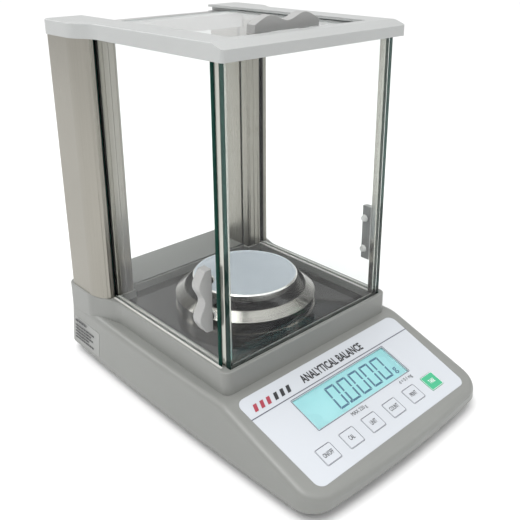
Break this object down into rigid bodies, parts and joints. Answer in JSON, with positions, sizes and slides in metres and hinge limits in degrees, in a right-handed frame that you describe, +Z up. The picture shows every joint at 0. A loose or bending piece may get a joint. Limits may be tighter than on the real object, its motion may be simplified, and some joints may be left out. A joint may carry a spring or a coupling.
{
  "type": "analytical balance",
  "caption": "Analytical balance with a glass draft shield, three sliding doors, round pan with draft ring, and a sloping panel with display and keys.",
  "frame": {"origin": "on the table, under the middle of the footprint", "axes": "+X to the right of a person facing the keys, +Y to the back, +Z up"},
  "size_m": [0.216, 0.32, 0.3171],
  "materials": {
    "housing_plastic": "warm light grey, fine moulded texture",
    "tray_plastic": "dark moulded tray",
    "foot_rubber": "black rubber",
    "steel_screw": "zinc-plated steel",
    "overlay_film": "pale printed film",
    "display_lens": "tinted clear window",
    "lcd": "cyan liquid crystal cell",
    "backlight": "white light guide",
    "circuit_board": "green laminate",
    "dome_metal": "sprung steel domes",
    "key_film": "pale printed key cap",
    "key_green": "green printed key cap",
    "floor_metal": "grey painted, semi-gloss",
    "track_plastic": "pale sliding track",
    "column_aluminium": "satin anodised, brushed",
    "seal_rubber": "black brush seal",
    "pane_glass": "clear float glass, green edges",
    "post_aluminium": "bright anodised",
    "frame_plastic": "warm light grey, fine moulded texture",
    "handle_plastic": "pale moulded grip",
    "handle_screw": "white domed screw",
    "bright_steel": "polished stainless steel",
    "cast_cell": "machined aluminium",
    "spring_steel": "thin spring plate",
    "copper_coil": "copper winding",
    "soft_iron": "turned soft iron",
    "magnet": "sintered magnet",
    "transformer_core": "laminated core",
    "socket_black": "black moulded socket",
    "contact_metal": "plated contacts",
    "rocker_black": "black gloss rocker",
    "connector_metal": "tinned steel shell",
    "label_film": "silver-grey label"
  },
  "bodies": {
    "base": {"base_housing": "housing_plastic", "bottom_tray": "tray_plastic", "tray_screws": "steel_screw", "front_feet": "foot_rubber", "panel_overlay": "overlay_film", "display_window": "display_lens", "lcd_glass": "lcd", "lcd_backlight": "backlight", "panel_board": "circuit_board", "dome_switches": "dome_metal", "chamber_floor": "floor_metal", "door_track_left": "track_plastic", "door_track_right": "track_plastic", "column_left": "column_aluminium", "column_right": "column_aluminium", "column_cover_left": "column_aluminium", "column_cover_right": "column_aluminium", "slot_seals": "seal_rubber", "tie_rods": "steel_screw", "rear_glass": "pane_glass", "rear_crossbar": "column_aluminium", "top_frame": "frame_plastic", "front_glass": "pane_glass", "corner_post_left": "post_aluminium", "corner_post_right": "post_aluminium", "cell_frame": "cast_cell", "parallel_guides": "spring_steel", "magnet_cup": "soft_iron", "ring_magnet": "magnet", "main_board": "circuit_board", "transformer": "transformer_core", "power_inlet": "socket_black", "inlet_pins": "contact_metal", "switch_housing": "socket_black", "serial_socket": "connector_metal", "rating_label": "label_film"},
    "foot_left": {"levelling_foot_left": "tray_plastic"},
    "foot_right": {"levelling_foot_right": "tray_plastic"},
    "left_door": {"door_glass_left": "pane_glass", "door_handle_left": "handle_plastic", "handle_screws_left": "handle_screw"},
    "right_door": {"door_glass_right": "pane_glass", "door_handle_right": "handle_plastic", "handle_screws_right": "handle_screw"},
    "top_door": {"door_glass_top": "pane_glass", "door_handle_top": "handle_plastic", "handle_screws_top": "handle_screw"},
    "ring": {"draft_ring": "bright_steel"},
    "hanger": {"pan_hanger": "cast_cell"},
    "support": {"pan_support": "cast_cell"},
    "pan": {"weighing_pan": "bright_steel"},
    "lever": {"lever_beam": "cast_cell", "force_coil": "copper_coil"},
    "rocker": {"power_switch": "rocker_black"},
    "key_power_body": {"key_power": "key_film"},
    "key_calibrate_body": {"key_calibrate": "key_film"},
    "key_unit_body": {"key_unit": "key_film"},
    "key_count_body": {"key_count": "key_film"},
    "key_print_body": {"key_print": "key_film"},
    "key_tare_body": {"key_tare": "key_green"}
  },
  "joints": [
    {"name": "left_door_slide", "type": "slide", "parent": "base", "child": "left_door", "axis": [0, 1, 0], "range_m": [0, 0.12]},
    {"name": "right_door_slide", "type": "slide", "parent": "base", "child": "right_door", "axis": [0, 1, 0], "range_m": [0, 0.12]},
    {"name": "top_door_slide", "type": "slide", "parent": "base", "child": "top_door", "axis": [0, 1, 0], "range_m": [0, 0.12]},
    {"name": "key_power_press", "type": "slide", "parent": "base", "child": "key_power_body", "axis": [0, 0.309, -0.9511], "range_m": [0, 0.0006], "stiffness_N_per_m": 1200},
    {"name": "key_calibrate_press", "type": "slide", "parent": "base", "child": "key_calibrate_body", "axis": [0, 0.309, -0.9511], "range_m": [0, 0.0006], "stiffness_N_per_m": 1200},
    {"name": "key_unit_press", "type": "slide", "parent": "base", "child": "key_unit_body", "axis": [0, 0.309, -0.9511], "range_m": [0, 0.0006], "stiffness_N_per_m": 1200},
    {"name": "key_count_press", "type": "slide", "parent": "base", "child": "key_count_body", "axis": [0, 0.309, -0.9511], "range_m": [0, 0.0006], "stiffness_N_per_m": 1200},
    {"name": "key_print_press", "type": "slide", "parent": "base", "child": "key_print_body", "axis": [0, 0.309, -0.9511], "range_m": [0, 0.0006], "stiffness_N_per_m": 1200},
    {"name": "key_tare_press", "type": "slide", "parent": "base", "child": "key_tare_body", "axis": [0, 0.309, -0.9511], "range_m": [0, 0.0006], "stiffness_N_per_m": 1200},
    {"name": "power_switch_rock", "type": "hinge", "parent": "base", "child": "rocker", "pos_m": [-0.028, 0.1535, 0.029], "axis": [1, 0, 0], "range_deg": [0, 16]},
    {"name": "levelling_foot_left_turn", "type": "hinge", "parent": "base", "child": "foot_left", "pos_m": [-0.086, 0.132, 0.004], "axis": [0, 0, 1], "continuous": true},
    {"name": "levelling_foot_right_turn", "type": "hinge", "parent": "base", "child": "foot_right", "pos_m": [0.086, 0.132, 0.004], "axis": [0, 0, 1], "continuous": true},
    {"name": "weighing_travel", "type": "slide", "parent": "base", "child": "hanger", "axis": [0, 0, 1], "range_m": [-0.0003, 0], "stiffness_N_per_m": 50000},
    {"name": "lever_tilt", "type": "hinge", "parent": "base", "child": "lever", "pos_m": [0, 0.042, 0.036], "axis": [1, 0, 0], "range_deg": [-0.2, 1.7]},
    {"name": "pan_support_lift", "type": "slide", "parent": "hanger", "child": "support", "axis": [0, 0, 1], "range_m": [0, 0.03]},
    {"name": "pan_lift", "type": "slide", "parent": "support", "child": "pan", "axis": [0, 0, 1], "range_m": [0, 0.06]},
    {"name": "draft_ring_lift", "type": "slide", "parent": "base", "child": "ring", "axis": [0, 0, 1], "range_m": [0, 0.06]}
  ],
  "couplings": [
    {"joint": "lever_tilt", "follows": "weighing_travel", "rad_per_m": -83.333}
  ]
}
